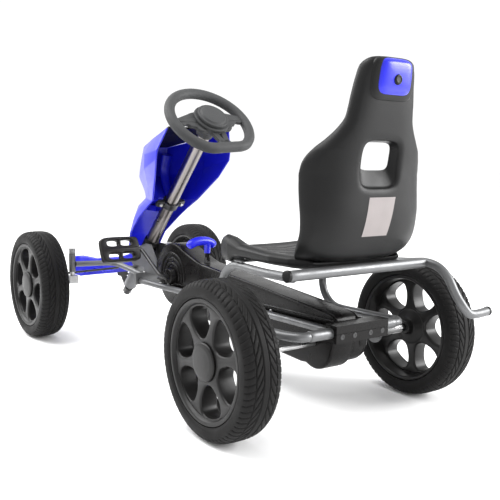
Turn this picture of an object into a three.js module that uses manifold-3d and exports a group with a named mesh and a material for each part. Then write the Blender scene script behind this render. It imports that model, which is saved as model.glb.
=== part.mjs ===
// A pedal go kart: a tubular steel frame, a chain drive under a moulded case, a moulded seat,
// a front fairing and bumper, and four spoked wheels. Millimetres, +X is the driver's left,
// -Y is forwards and +Z is up. The origin is on the ground under the middle of the kart.
import * as THREE from 'three';
import { ConvexGeometry } from 'three/addons/geometries/ConvexGeometry.js';
import { mergeVertices } from 'three/addons/utils/BufferGeometryUtils.js';
import Module from 'manifold-3d';

const wasm = await Module();
wasm.setup();

// ---- driving dimensions ----
const WHEEL_RADIUS = 150;
const TYRE_WIDTH = 78;
const RIM_RADIUS = 116.5;
const HALF_TRACK = 259;
const REAR_AXLE_Y = 441.5;
const WHEELBASE = 939;
const FRONT_AXLE_Y = REAR_AXLE_Y - WHEELBASE;
const SPOKES = 6;
const SPOKE_FACE = 30;
const SPOKE_DEPTH = 38;
const GAP = 0.3;

const COLUMN_ANGLE = 47;
const COLUMN_BASE = new THREE.Vector3(0, -310, 270);
const WHEEL_HUB_S = 454;
const STEER_RADIUS = 105;
const STEER_TUBE_RADIUS = 13;
const STEER_FLAT = 90;
const STEER_CLOCKING = 6;

const SPINE_X = 42;
const SPINE_TUBE_RADIUS = 8;
const RAIL_RADIUS = 9;
const RAIL_X = 140;
const CROSS_TUBE_RADIUS = 10.5;
const CROSS_TUBE = { y: 541.5, z: 312, halfLength: 187 };
const LATERAL_TUBE = { y: 521.5, z: 190, halfLength: 112 };
const BEND = { y: 328, z: 242, radius: 58 };

const BEAM_Y = -483;
const BEAM_Z = 200;
const KINGPIN_X = 160;
const KINGPIN_Y = -490;
const TIE_ROD_Z = 162;
const STEER_ARM = 50;

const CRANK = { y: -128.5, z: 206, arm: 128, angle: 29, x: 66 };
const PEDAL_X = 128;
const CASE_HALF_WIDTH = 32;

const COLUMN_TILT = THREE.MathUtils.degToRad(COLUMN_ANGLE - 90);
const HALF_TURN = Math.PI;
const QUARTER = Math.PI / 2;

// ---- materials ----
function finish(color, roughness, metalness) {
  return new THREE.MeshStandardMaterial({ color, roughness, metalness });
}
const SILVER_PAINT = finish(0x9a9c9e, 0.4, 0.6);
const STEEL = finish(0x808284, 0.45, 0.9);
const BLACK_STEEL = finish(0x1c1c1e, 0.5, 0.4);
const BLUE_PLASTIC = finish(0x1216b4, 0.35, 0);
const GLOSS_BLACK = finish(0x202022, 0.3, 0);
const MATTE_BLACK = finish(0x2e2f30, 0.7, 0);
const GRIP_FOAM = finish(0x3c3d3e, 0.85, 0);
const TYRE_FOAM = finish(0x2a2a2b, 0.9, 0);
const RIM_PLASTIC = finish(0x1b1b1c, 0.55, 0);

// ---- solids ----
function toSolid(geometry) {
  const bare = geometry.clone();
  bare.deleteAttribute('normal');
  bare.deleteAttribute('uv');
  const merged = mergeVertices(bare, 1e-4);
  return new wasm.Manifold(new wasm.Mesh({
    numProp: 3,
    vertProperties: merged.attributes.position.array,
    triVerts: Uint32Array.from(merged.index.array),
  }));
}

function toGeometry(solid) {
  const data = solid.getMesh();
  const geometry = new THREE.BufferGeometry();
  geometry.setAttribute('position', new THREE.BufferAttribute(data.vertProperties, 3));
  geometry.setIndex(new THREE.BufferAttribute(data.triVerts, 1));
  return geometry;
}

function join(...geometries) {
  const solids = geometries.map(toSolid);
  return toGeometry(solids.reduce((sum, solid) => sum.add(solid)));
}

function cut(geometry, ...tools) {
  return toGeometry(tools.reduce((left, tool) => left.subtract(toSolid(tool)), toSolid(geometry)));
}

function common(geometry, tool) {
  return toGeometry(toSolid(geometry).intersect(toSolid(tool)));
}

function moved(geometry, x, y, z) {
  return geometry.clone().translate(x, y, z);
}

function box(width, depth, height, x, y, z) {
  return new THREE.BoxGeometry(width, depth, height).translate(x, y, z);
}

// A cylinder from one point to another.
function rod(from, to, radius, sides = 14) {
  const start = new THREE.Vector3(...from);
  const end = new THREE.Vector3(...to);
  const span = end.clone().sub(start);
  const turn = new THREE.Quaternion().setFromUnitVectors(
    new THREE.Vector3(0, 1, 0), span.clone().normalize());
  const middle = start.add(end).multiplyScalar(0.5);
  return new THREE.CylinderGeometry(radius, radius, span.length(), sides)
    .applyQuaternion(turn).translate(middle.x, middle.y, middle.z);
}

// A solid of revolution about the X axis; profile points are [radius, x].
function turned(profile, segments, x = 0, y = 0, z = 0) {
  const points = profile.map(([r, along]) => new THREE.Vector2(r, along));
  return new THREE.LatheGeometry(points, segments).rotateZ(-QUARTER).translate(x, y, z);
}

// A ring with a square section about the X axis.
function ring(outer, inner, width, segments) {
  const half = width / 2;
  return turned(
    [[inner, -half], [outer, -half], [outer, half], [inner, half], [inner, -half]], segments);
}

// A hollow tube along local Z between two heights.
function sleeve(outer, inner, low, high, sides = 18) {
  const profile = [[inner, low], [outer, low], [outer, high], [inner, high], [inner, low]];
  const points = profile.map(([r, along]) => new THREE.Vector2(r, along));
  return new THREE.LatheGeometry(points, sides).rotateX(QUARTER);
}

function circleShape(radius, sides) {
  const points = [];
  for (let i = 0; i < sides; i += 1) {
    const angle = (2 * Math.PI * i) / sides;
    points.push(new THREE.Vector2(radius * Math.cos(angle), radius * Math.sin(angle)));
  }
  return new THREE.Shape(points);
}

function tubeAlong(points, radius, steps, sides = 10) {
  const path = new THREE.CatmullRomCurve3(
    points.map((p) => new THREE.Vector3(...p)), false, 'centripetal');
  return new THREE.ExtrudeGeometry(
    circleShape(radius, sides), { extrudePath: path, steps, bevelEnabled: false });
}

function shapeOf(points) {
  return new THREE.Shape(points.map(([x, y]) => new THREE.Vector2(x, y)));
}

// A plate whose outline is drawn in (y, z) and whose thickness runs along X from x0 to x1.
function plateYZ(outline, x0, x1, curveSegments = 6) {
  const shape = outline instanceof THREE.Shape ? outline : shapeOf(outline);
  return new THREE.ExtrudeGeometry(shape, { depth: x1 - x0, bevelEnabled: false, curveSegments })
    .rotateY(QUARTER).rotateX(QUARTER).translate(x0, 0, 0);
}

// A plate whose outline is drawn in (x, z) and whose thickness runs along Y from y0 to y1.
function plateXZ(outline, y0, y1, curveSegments = 6) {
  const shape = outline instanceof THREE.Shape ? outline : shapeOf(outline);
  return new THREE.ExtrudeGeometry(shape, { depth: y1 - y0, bevelEnabled: false, curveSegments })
    .rotateX(QUARTER).translate(0, y1, 0);
}

// A plate whose outline is drawn in (x, y) and whose thickness runs along Z from z0 to z1.
function plateXY(outline, z0, z1, curveSegments = 6) {
  const shape = outline instanceof THREE.Shape ? outline : shapeOf(outline);
  return new THREE.ExtrudeGeometry(shape, { depth: z1 - z0, bevelEnabled: false, curveSegments })
    .translate(0, 0, z0);
}

function mirrored(geometry) {
  const copy = geometry.index ? geometry.toNonIndexed() : geometry.clone();
  copy.scale(-1, 1, 1);
  const position = copy.attributes.position;
  for (let i = 0; i < position.count; i += 3) {
    const a = new THREE.Vector3().fromBufferAttribute(position, i + 1);
    const b = new THREE.Vector3().fromBufferAttribute(position, i + 2);
    position.setXYZ(i + 1, b.x, b.y, b.z);
    position.setXYZ(i + 2, a.x, a.y, a.z);
  }
  return copy;
}

const group = new THREE.Group();

function add(name, geometry, material, parent = group) {
  geometry.computeVertexNormals();
  const mesh = new THREE.Mesh(geometry, material);
  mesh.name = name;
  parent.add(mesh);
  return mesh;
}

// Adds a piece on the driver's left and its mirror image on the right.
function addPair(name, geometry, material) {
  add(`${name}_left`, geometry, material);
  add(`${name}_right`, mirrored(geometry), material);
}

// ---- frame tubes ----
function addSpineAndNeck() {
  addPair('spine_tube', rod([SPINE_X, -287.7, 170], [SPINE_X, 507, 189], SPINE_TUBE_RADIUS, 12),
    SILVER_PAINT);
  add('neck_plate', box(112, 12, 32, 0, -294, 176), SILVER_PAINT);
  const frontTube = [
    [151, BEAM_Y - 4, BEAM_Z], [60, BEAM_Y, BEAM_Z - 3], [37, BEAM_Y + 3, BEAM_Z - 5],
    [29, BEAM_Y + 20, BEAM_Z - 6], [28, BEAM_Y + 43, BEAM_Z - 7], [28, -301, 184],
  ];
  const kingpinSleeve = sleeve(9.6, 7, 178, 232, 14).translate(KINGPIN_X, KINGPIN_Y, 0);
  const kingpinBore = rod([KINGPIN_X, KINGPIN_Y, 170], [KINGPIN_X, KINGPIN_Y, 240], 7);
  const half = cut(join(tubeAlong(frontTube, SPINE_TUBE_RADIUS, 16, 8), kingpinSleeve), kingpinBore);
  addPair('front_axle_half', half, SILVER_PAINT);
}

// A saddle of bent plate either side of the head tube, closed at the back.
function addHeadBracket() {
  const cheek = [
    [-378, 206], [-302, 206], [-302, 193], [-228, 193], [-228, 232], [-262, 274], [-290, 274],
    [-330, 262],
  ];
  const left = plateYZ(cheek, 21.6, 24.6);
  const web = box(49.2, 3, 39, 0, -229.5, 212.5);
  add('head_bracket', join(left, mirrored(left), web), SILVER_PAINT);
}

function addSeatRails() {
  const bend = [];
  const bendPoints = 9;
  for (let i = 0; i < bendPoints; i += 1) {
    const angle = QUARTER + (HALF_TURN * i) / (bendPoints - 1);
    bend.push([RAIL_X, BEND.y + BEND.radius * Math.cos(angle), BEND.z + BEND.radius * Math.sin(angle)]);
  }
  const lower = [
    [RAIL_X, 400, 185], [RAIL_X, 480, 188], [RAIL_X - 3, 505, 189.6], [RAIL_X - 12, 518, 190],
    [LATERAL_TUBE.halfLength + 10, LATERAL_TUBE.y, LATERAL_TUBE.z],
    [LATERAL_TUBE.halfLength + 2 * GAP, LATERAL_TUBE.y, LATERAL_TUBE.z],
  ];
  const left = [[158, 529, 305], [150, 430, 301], ...bend, ...lower];
  add('seat_rail_left', tubeAlong(left, RAIL_RADIUS, 36, 8), SILVER_PAINT);
  const tail = [
    [257, 638.5, 219], [225, 638.2, 217], [204, 636, 219], [190, 630, 235], [184, 616, 257],
    [180, 598, 288], [178, 575, 306], [178, CROSS_TUBE.y, CROSS_TUBE.z], [172, 500, 308],
    [152, 400, 302],
  ];
  add('seat_rail_right', mirrored(tubeAlong([...tail, ...bend, ...lower], RAIL_RADIUS, 52, 8)),
    SILVER_PAINT);
  add('tail_tube_cap', mirrored(rod([257.4, 638.5, 219], [261.4, 638.5, 219.2], RAIL_RADIUS)),
    MATTE_BLACK);
  const crossEnd = -167.4;
  add('cross_tube', rod([crossEnd, CROSS_TUBE.y, CROSS_TUBE.z],
    [CROSS_TUBE.halfLength - 5, CROSS_TUBE.y, CROSS_TUBE.z], CROSS_TUBE_RADIUS), SILVER_PAINT);
  add('cross_tube_cap', rod([CROSS_TUBE.halfLength - 4.7, CROSS_TUBE.y, CROSS_TUBE.z],
    [CROSS_TUBE.halfLength, CROSS_TUBE.y, CROSS_TUBE.z], CROSS_TUBE_RADIUS + 0.8), MATTE_BLACK);
  add('lateral_tube', rod([-LATERAL_TUBE.halfLength, LATERAL_TUBE.y, LATERAL_TUBE.z],
    [LATERAL_TUBE.halfLength, LATERAL_TUBE.y, LATERAL_TUBE.z], CROSS_TUBE_RADIUS), SILVER_PAINT);
}

function addRearBearings() {
  const half = 22;
  const top = 175.5;
  const outline = new THREE.Shape();
  outline.moveTo(REAR_AXLE_Y - half, top);
  outline.lineTo(REAR_AXLE_Y - half, WHEEL_RADIUS);
  outline.absarc(REAR_AXLE_Y, WHEEL_RADIUS, half, HALF_TURN, 2 * HALF_TURN, false);
  outline.lineTo(REAR_AXLE_Y + half, top);
  const bore = new THREE.Path();
  bore.absarc(REAR_AXLE_Y, WHEEL_RADIUS, 12, 0, 2 * Math.PI, true);
  outline.holes.push(bore);
  addPair('axle_hanger', plateYZ(outline, RAIL_X - 2, RAIL_X + 2), SILVER_PAINT);
  const bearing = [[7, -7], [11.6, -7], [11.6, 2.4], [17, 2.4], [17, 5], [11.6, 5], [11.6, 7],
    [7, 7], [7, -7]];
  addPair('axle_bearing', turned(bearing, 16, RAIL_X, REAR_AXLE_Y, WHEEL_RADIUS), BLACK_STEEL);
}

// ---- chain case ----
const SEAM_FRONT = [-214, 184];
const SEAM_REAR = [504, 203];

function crankArc(radius, fromDegrees, toDegrees, count) {
  const points = [];
  for (let i = 0; i < count; i += 1) {
    const angle = THREE.MathUtils.degToRad(
      fromDegrees + ((toDegrees - fromDegrees) * i) / (count - 1));
    points.push([CRANK.y + radius * Math.cos(angle), CRANK.z + radius * Math.sin(angle)]);
  }
  return points;
}

function axleArc(radius, fromDegrees, toDegrees, count) {
  const offsetY = REAR_AXLE_Y - CRANK.y;
  const offsetZ = WHEEL_RADIUS - CRANK.z;
  return crankArc(radius, fromDegrees, toDegrees, count)
    .map(([y, z]) => [y + offsetY, z + offsetZ]);
}

function crankBore(radius) {
  return rod([-90, CRANK.y, CRANK.z], [90, CRANK.y, CRANK.z], radius);
}

function addChainCase() {
  const wall = 3;
  const w = CASE_HALF_WIDTH;
  const upperOuter = [
    SEAM_FRONT, ...crankArc(86, 180, 62, 9), [1.5, 256], [184, 243], [480, 218], [499, 214],
    [506, 208], SEAM_REAR,
  ];
  const upperInner = [
    [SEAM_FRONT[0] + wall, 150], ...crankArc(86 - wall, 180, 62, 9), [1.5, 256 - wall],
    [184, 243 - wall], [480, 218 - wall], [501, 205], [501, 150],
  ];
  const boss = rod([-46, CRANK.y, CRANK.z], [46, CRANK.y, CRANK.z], 22, 18);
  const upper = cut(join(plateYZ(upperOuter, -w, w), boss),
    plateYZ(upperInner, wall - w, w - wall), crankBore(8));
  add('chain_case_upper', upper, GLOSS_BLACK);

  const lowerOuter = [
    [SEAM_FRONT[0] + 8, SEAM_FRONT[1] - 0.2], ...crankArc(80, 200, 262, 6), [402, 101],
    ...axleArc(54, 240, 350, 8), [SEAM_REAR[0] - 2, 172], [SEAM_REAR[0], SEAM_REAR[1] - 0.4],
  ];
  const lowerInner = [
    [SEAM_FRONT[0] + 12, 230], ...crankArc(80 - wall, 200, 262, 6), [402, 104],
    ...axleArc(54 - wall, 240, 350, 8), [SEAM_REAR[0] - 5, 172], [SEAM_REAR[0] - 5, 230],
  ];
  const axleHole = rod([-90, REAR_AXLE_Y, WHEEL_RADIUS], [90, REAR_AXLE_Y, WHEEL_RADIUS], 9);
  const lower = cut(plateYZ(lowerOuter, 0.6 - w, w - 0.6),
    plateYZ(lowerInner, wall - w + 0.6, w - wall - 0.6), crankBore(23), axleHole);
  add('chain_case_lower', lower, GLOSS_BLACK);
  add('axle_gear_cover', turned([[9, -80], [38, -80], [45, -72], [45, -53],
    [27, -52], [27, -34], [9, -34], [9, -80]],
    18, 0, REAR_AXLE_Y, WHEEL_RADIUS), GLOSS_BLACK);
}

// Two halves of a box clamped round the lateral tube behind the chain case.
function addTubeClamp() {
  const bore = rod([-120, LATERAL_TUBE.y, LATERAL_TUBE.z], [120, LATERAL_TUBE.y, LATERAL_TUBE.z],
    CROSS_TUBE_RADIUS + 0.4, 14);
  const length = 137;
  const middle = -9.5;
  const y = 523.5;
  add('tube_clamp_upper', cut(box(length, 32, 15.6, middle, y, 198.4), bore), MATTE_BLACK);
  add('tube_clamp_lower', cut(box(length, 32, 18, middle, y, 181), bore), MATTE_BLACK);
}

// ---- steering column ----
function columnGroup() {
  const column = new THREE.Group();
  column.position.copy(COLUMN_BASE);
  column.rotation.x = COLUMN_TILT;
  group.add(column);
  return column;
}

function addColumn() {
  const column = columnGroup();
  add('head_tube', sleeve(18.5, 9, -186, -30), SILVER_PAINT, column);
  add('column_collar', sleeve(21, 9, -29.7, 22), MATTE_BLACK, column);
  add('column_jacket', sleeve(17.3, 9, 22.3, 412), SILVER_PAINT, column);
  const clampRing = sleeve(22.5, 17.7, 158, 176);
  const ears = cut(box(84, 8, 18, 0, 0, 167), rod([0, 0, 150], [0, 0, 190], 19, 18));
  add('fairing_clamp', join(clampRing, ears), BLACK_STEEL, column);
  add('steering_shaft', rod([0, 0, -227], [0, 0, 424], 8), STEEL, column);
}

function steeringRim() {
  const upper = [];
  const count = 19;
  for (let i = 0; i < count; i += 1) {
    const angle = THREE.MathUtils.degToRad(140 + (260 * i) / (count - 1));
    upper.push([STEER_RADIUS * Math.cos(angle), STEER_RADIUS * Math.sin(angle), 0]);
  }
  const corner = STEER_RADIUS * Math.cos(THREE.MathUtils.degToRad(40));
  const shoulder = STEER_RADIUS * Math.sin(THREE.MathUtils.degToRad(40));
  const lower = [
    [corner + 6, shoulder - 8, 0], [corner - 9, shoulder + 9, 0], [40, STEER_FLAT - 1, 0],
    [0, STEER_FLAT, 0], [-40, STEER_FLAT - 1, 0], [9 - corner, shoulder + 9, 0],
    [-corner - 6, shoulder - 8, 0],
  ];
  return join(tubeAlong(upper, STEER_TUBE_RADIUS, 22, 8),
    tubeAlong(lower, STEER_TUBE_RADIUS - 0.2, 12, 8));
}

function addSteeringWheel() {
  const column = columnGroup();
  const clocking = THREE.MathUtils.degToRad(STEER_CLOCKING);
  const sideSpoke = [[30, -13], [62, -10], [98, -5], [98, 7], [62, 10], [30, 16]];
  const vSpoke = [[6, 30], [22, 30], [13, 84], [-3, 84]];
  const left = plateXY(sideSpoke, -5, 5);
  const lower = plateXY(vSpoke, -4, 4);
  const hub = rod([0, 0, -14], [0, 0, 12], 38, 20);
  const whole = join(steeringRim(), left, mirrored(left), lower, mirrored(lower), hub);
  const wheel = whole.rotateZ(clocking).translate(0, 0, WHEEL_HUB_S);
  const bore = rod([0, 0, 400], [0, 0, 430], 11.5);
  const boss = rod([0, 0, 424.3], [0, 0, WHEEL_HUB_S - 10], 16);
  add('steering_wheel', cut(join(wheel, boss), bore), GRIP_FOAM, column);
  add('steering_hub_cover', rod([0, 0, WHEEL_HUB_S + 12.3], [0, 0, WHEEL_HUB_S + 24], 35, 20),
    GRIP_FOAM, column);
}

// The pitman arm stands out from the foot of the shaft and carries both tie rods.
function addPitmanArm() {
  const column = columnGroup();
  const arm = plateXY([[-11, 8], [11, 8], [9, -46], [18, -50], [16, -60], [-16, -60], [-18, -50],
    [-9, -46]], -203, -199);
  const nut = rod([0, 0, -220], [0, 0, -202], 13, 6);
  const bore = rod([0, 0, -230], [0, 0, -180], 8.3, 14);
  add('pitman_arm', cut(join(arm, nut), bore), BLACK_STEEL, column);
}

// ---- fairing and bumper ----
function hull(half) {
  const points = half.flatMap(([x, y, z]) => [new THREE.Vector3(x, y, z),
    new THREE.Vector3(-x, y, z)]);
  return new ConvexGeometry(points);
}

function addFairing() {
  const upperOuter = hull([
    [35, -273, 540], [88, -50, 585], [106, -70, 531], [106, -74, 509], [38, -296, 460],
    [93, -104, 465], [40, -243, 400], [66, -166, 400],
  ]);
  const upperInner = hull([
    [31, -277, 580], [84, -46, 640], [84, 30, 640], [102, -66, 531], [102, -20, 509],
    [34, -291, 460], [89, -99, 465], [60, 20, 420], [36, -237, 396], [62, -161, 396],
    [62, -60, 396],
  ]);
  const lowerOuter = hull([
    [40, -243, 404], [66, -166, 404], [40, -298, 377], [38, -349, 301], [53, -321, 301],
    [36, -362, 258], [46, -345, 258], [61, -255, 350],
  ]);
  const lowerInner = hull([
    [36, -238, 409], [62, -161, 409], [62, -60, 409], [36, -292, 376], [34, -343, 300],
    [49, -315, 300], [32, -362, 230], [42, -340, 230], [44, -200, 230], [57, -250, 350],
    [57, -120, 350],
  ]);
  const outer = join(upperOuter, lowerOuter);
  const boss = common(box(28, 66, 16, 0, -280, 374), outer);
  const skin = cut(outer, join(upperInner, lowerInner));
  add('fairing', join(skin, boss), BLUE_PLASTIC);
  const lid = hull([
    [35, -273, 540.5], [88, -50, 585.5], [35, -274, 544.5], [88, -51, 589.5],
  ]);
  add('fairing_top_panel', lid, MATTE_BLACK);
}

function addBumper() {
  const outer = [
    [0, -581], [60, -580], [110, -573], [140, -552], [154, -518],
  ];
  const inner = [[149, -517], [136, -547], [107, -567], [60, -574], [0, -575]];
  const back = [...outer, ...inner];
  const flip = [...back].reverse().map(([x, y]) => [-x, y]);
  const outline = [...back.slice(0, 9), ...flip.slice(1)];
  const band = plateXY(outline, 140, 225);
  const face = [
    [-160, 172], [-154, 152], [-100, 147], [100, 147], [154, 152], [160, 172], [156, 203],
    [118, 213], [88, 212], [40, 199], [-40, 199], [-88, 212], [-118, 213], [-156, 203],
  ];
  const shaped = common(band, plateXZ(face, -600, -500));
  const notch = box(60, 70, 40, 152, -530, 156);
  const leaf = box(30, 82, 3, 40, -534.5, 167.5);
  const body = cut(shaped, notch, mirrored(notch));
  add('bumper', join(body, leaf, mirrored(leaf)), BLUE_PLASTIC);
}

// ---- seat ----
const BACK_LEAN = 0.16;
const BACK_REAR_Y = 566;
const BACK_REAR_Z = 425;
const BACK_THICKNESS = 30;

// Leans an upright piece back; its rear face follows the backrest.
function leaned(geometry) {
  const shear = new THREE.Matrix4().set(
    1, 0, 0, 0, 0, 1, BACK_LEAN, BACK_REAR_Y - BACK_LEAN * BACK_REAR_Z, 0, 0, 1, 0, 0, 0, 0, 1);
  return geometry.applyMatrix4(shear);
}

function symmetricOutline(half) {
  return [...half, ...[...half].reverse().map(([x, z]) => [-x, z])];
}

function addSeat() {
  const back = shapeOf(symmetricOutline([
    [75, 323], [120, 329], [138, 345], [142, 384], [145, 430], [145, 480], [141, 516], [129, 535],
    [110, 554], [93, 573], [80, 592], [74, 630], [67, 660], [61, 686], [50, 695], [28, 699],
  ]));
  back.holes.push(new THREE.Path(symmetricOutline(
    [[34, 478], [45, 488], [45, 540], [36, 551]]).map(([x, z]) => new THREE.Vector2(x, z))));
  const panel = leaned(plateXZ(back, -BACK_THICKNESS, 0));
  const wing = leaned(plateXZ([[114, 330], [138, 345], [142, 384], [145, 430], [145, 480],
    [141, 516], [129, 535], [122, 500], [118, 420], [112, 360]], -60, -2));
  const pan = plateXY(symmetricOutline([
    [96, 236], [132, 252], [148, 300], [148, 470], [118, 515], [60, 529.5]]), 313.3, 326);
  const bolster = plateYZ([[240, 308], [262, 303], [292, 303], [318, 314], [528, 314], [530, 343],
    [440, 342], [330, 352], [275, 361], [246, 352]], 108, 148);
  const shell = join(panel, pan, wing, mirrored(wing), bolster, mirrored(bolster));
  add('seat_shell', shell, MATTE_BLACK);
  const headrest = leaned(plateXZ(symmetricOutline([[38, 630], [46, 638], [46, 684], [38, 694]]),
    0.4, 5.4));
  const knobZ = 659;
  const knobY = BACK_REAR_Y + BACK_LEAN * (knobZ - BACK_REAR_Z) + 4;
  const knob = rod([0, knobY, knobZ], [0, knobY + 8, knobZ - 1], 9);
  add('headrest_panel', join(headrest, knob), BLUE_PLASTIC);
  add('seat_strap', box(300, 26, 2.4, 0, 342, 311.8), SILVER_PAINT);
}

// ---- hand lever ----
const LEVER = { x: 8, y: 4, z: 266 };
const LEVER_STEM_WIDTH = 8;

// The lever tilts on a small saddle that sits on the top of the chain case.
// Its grip is one uneven arch: the arm on the left is the longer one.
function addHandLever() {
  const base = plateYZ([[-2, 257.8], [1.5, 256.8], [10, 256.2], [10, 260], [-2, 260]],
    LEVER.x - 6.3, LEVER.x + 6.3);
  const cheek = box(2, 9, 12, LEVER.x - 5.3, LEVER.y, 264);
  const farCheek = moved(cheek, 10.6, 0, 0);
  const pin = rod([LEVER.x - 6, LEVER.y, LEVER.z], [LEVER.x + 6, LEVER.y, LEVER.z], 2);
  add('lever_bracket', join(base, cheek, farCheek, pin), BLACK_STEEL);
  const stem = box(LEVER_STEM_WIDTH, 8, 19, LEVER.x, LEVER.y, LEVER.z + 4.8);
  const bore = rod([LEVER.x - 9, LEVER.y, LEVER.z], [LEVER.x + 9, LEVER.y, LEVER.z], 2.4);
  add('lever_stem', cut(stem, bore), MATTE_BLACK);
  const arch = [[61, 299], [54, 305], [40, 310], [24, 311.5], [8, 309.5], [-3, 305], [-12, 299.5]]
    .map(([x, z]) => [x, LEVER.y, z]);
  const neck = rod([LEVER.x, LEVER.y, LEVER.z + 14.6], [LEVER.x, LEVER.y, 308], 8.5);
  add('lever_grip', join(tubeAlong(arch, 10.8, 14), neck), BLUE_PLASTIC);
}

// ---- wheels ----
const TYRE_SEGMENTS = 32;

function tyreGeometry() {
  const tread = WHEEL_RADIUS / Math.cos(Math.PI / TYRE_SEGMENTS);
  const half = TYRE_WIDTH / 2;
  const bead = RIM_RADIUS + 0.8;
  const profile = [[bead, -half + 2], [134, -half], [145, -half + 7], [tread, -half + 19],
    [tread, half - 19], [145, half - 7], [134, half], [bead, half - 2], [bead, -half + 2]];
  return turned(profile, TYRE_SEGMENTS).rotateX(Math.PI / TYRE_SEGMENTS);
}

function rimGeometry() {
  const disc = circleShape(RIM_RADIUS - 4, 24);
  const half = [[44, 6], [54, 16], [70, 21.5], [87, 21.5], [98, 16], [102, 6]];
  for (let k = 0; k < SPOKES; k += 1) {
    const middle = (360 / SPOKES) * k;
    const polar = [...half, ...[...half].reverse().map(([r, a]) => [r, -a])];
    const window = polar.map(([r, a]) => {
      const angle = THREE.MathUtils.degToRad(middle + a);
      return new THREE.Vector2(r * Math.cos(angle), r * Math.sin(angle));
    });
    disc.holes.push(new THREE.Path(window));
  }
  const spokes = plateYZ(disc, SPOKE_FACE - SPOKE_DEPTH, SPOKE_FACE);
  const barrel = ring(RIM_RADIUS, RIM_RADIUS - 8, TYRE_WIDTH - 6, 24);
  const hub = rod([-30, 0, 0], [SPOKE_FACE, 0, 0], 39, 16);
  const bore = rod([-40, 0, 0], [40, 0, 0], 7.4, 14);
  return cut(join(barrel, spokes, hub), bore);
}

function addWheels() {
  const capFoot = SPOKE_FACE + GAP;
  const capProfile = [[0, capFoot], [36, capFoot], [36, 34.5], [31, 37.4], [0, 38.4]];
  const corners = [['front', FRONT_AXLE_Y], ['rear', REAR_AXLE_Y]];
  for (const [end, y] of corners) {
    const pieces = [
      ['tyre', tyreGeometry(), TYRE_FOAM],
      ['rim', rimGeometry(), RIM_PLASTIC],
      ['hub_cap', turned(capProfile, 24), GLOSS_BLACK],
    ];
    for (const [part, geometry, material] of pieces) {
      addPair(`${part}_${end}`, geometry.translate(HALF_TRACK, y, WHEEL_RADIUS), material);
    }
  }
}

// ---- front stub axles and steering linkage ----
function addKnuckles() {
  const pin = rod([KINGPIN_X, KINGPIN_Y, 150], [KINGPIN_X, KINGPIN_Y, 236], 6);
  const stubLength = 272;
  const stub = rod([KINGPIN_X - 8, FRONT_AXLE_Y, WHEEL_RADIUS], [stubLength, FRONT_AXLE_Y,
    WHEEL_RADIUS], 6);
  const block = box(26, 30, 22, KINGPIN_X, KINGPIN_Y - 2, 156);
  const arm = box(14, STEER_ARM, 5, KINGPIN_X, KINGPIN_Y - STEER_ARM / 2 - 10, TIE_ROD_Z - 9);
  const nut = rod([KINGPIN_X, KINGPIN_Y, 232.6], [KINGPIN_X, KINGPIN_Y, 246], 10, 6);
  addPair('knuckle', join(pin, stub, block, arm, nut), STEEL);
  const outerEnd = [KINGPIN_X, KINGPIN_Y - STEER_ARM, TIE_ROD_Z + 4];
  const innerEnd = [15, -484, 179.5];
  const shank = rod(innerEnd, outerEnd, 3.5, 8);
  const eye = rod([outerEnd[0], outerEnd[1], TIE_ROD_Z - 6.1], [outerEnd[0], outerEnd[1],
    TIE_ROD_Z + 8], 8, 12);
  addPair('tie_rod', join(shank, eye), BLACK_STEEL);
}

// ---- drive ----
function sprocket(teeth, pitch, thickness) {
  const radius = pitch / (2 * Math.sin(Math.PI / teeth));
  const points = [];
  for (let i = 0; i < teeth; i += 1) {
    for (const [share, step] of [[-0.25, -3], [0, 3], [0.25, -3]]) {
      const angle = ((i + share) * 2 * Math.PI) / teeth;
      points.push([(radius + step) * Math.cos(angle), (radius + step) * Math.sin(angle)]);
    }
  }
  return plateYZ(points, -thickness / 2, thickness / 2);
}

const CHAIN_PITCH = 12.7;
const FRONT_TEETH = 24;
const REAR_TEETH = 18;

function chainBand(extra) {
  const front = CHAIN_PITCH / (2 * Math.sin(Math.PI / FRONT_TEETH)) + extra;
  const rear = CHAIN_PITCH / (2 * Math.sin(Math.PI / REAR_TEETH)) + extra;
  return [...crankArc(front, 80, 264, 12), ...axleArc(rear, 264, 440, 10)];
}

function addDrive() {
  const angle = THREE.MathUtils.degToRad(CRANK.angle);
  const reach = [-CRANK.arm * Math.cos(angle), CRANK.arm * Math.sin(angle)];
  const pieces = [rod([-CRANK.x, CRANK.y, CRANK.z], [CRANK.x, CRANK.y, CRANK.z], 6)];
  for (const side of [1, -1]) {
    const end = [side * CRANK.x, CRANK.y + side * reach[0], CRANK.z + side * reach[1]];
    pieces.push(rod([side * CRANK.x, CRANK.y, CRANK.z], end, 5.5, 12));
    pieces.push(rod([side * (CRANK.x - 5), end[1], end[2]], [side * 178, end[1], end[2]], 5, 12));
    pieces.push(new THREE.SphereGeometry(7, 8, 6).translate(side * CRANK.x, CRANK.y, CRANK.z));
    pieces.push(new THREE.SphereGeometry(6.4, 8, 6).translate(...end));
    const name = side > 0 ? 'pedal_left' : 'pedal_right';
    add(name, pedalGeometry(side).translate(side * PEDAL_X, end[1], end[2]), MATTE_BLACK);
  }
  pieces.push(sprocket(FRONT_TEETH, CHAIN_PITCH, 4).translate(0, CRANK.y, CRANK.z));
  add('crankset', join(...pieces), BLACK_STEEL);
  const ringBore = rod([-9, 0, 0], [9, 0, 0], 6.4);
  add('axle_sprocket', cut(sprocket(REAR_TEETH, CHAIN_PITCH, 4), ringBore)
    .translate(0, REAR_AXLE_Y, WHEEL_RADIUS), STEEL);
  add('drive_chain', cut(plateYZ(chainBand(8), -3.5, 3.5), plateYZ(chainBand(4.2), -9, 9)), STEEL);
  const spacer = ring(10, 5.5, 62, 16).translate(188, REAR_AXLE_Y, WHEEL_RADIUS);
  const shaft = rod([-272, REAR_AXLE_Y, WHEEL_RADIUS], [272, REAR_AXLE_Y, WHEEL_RADIUS], 6);
  add('rear_axle', join(shaft, spacer, mirrored(spacer)), STEEL);
}

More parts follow.
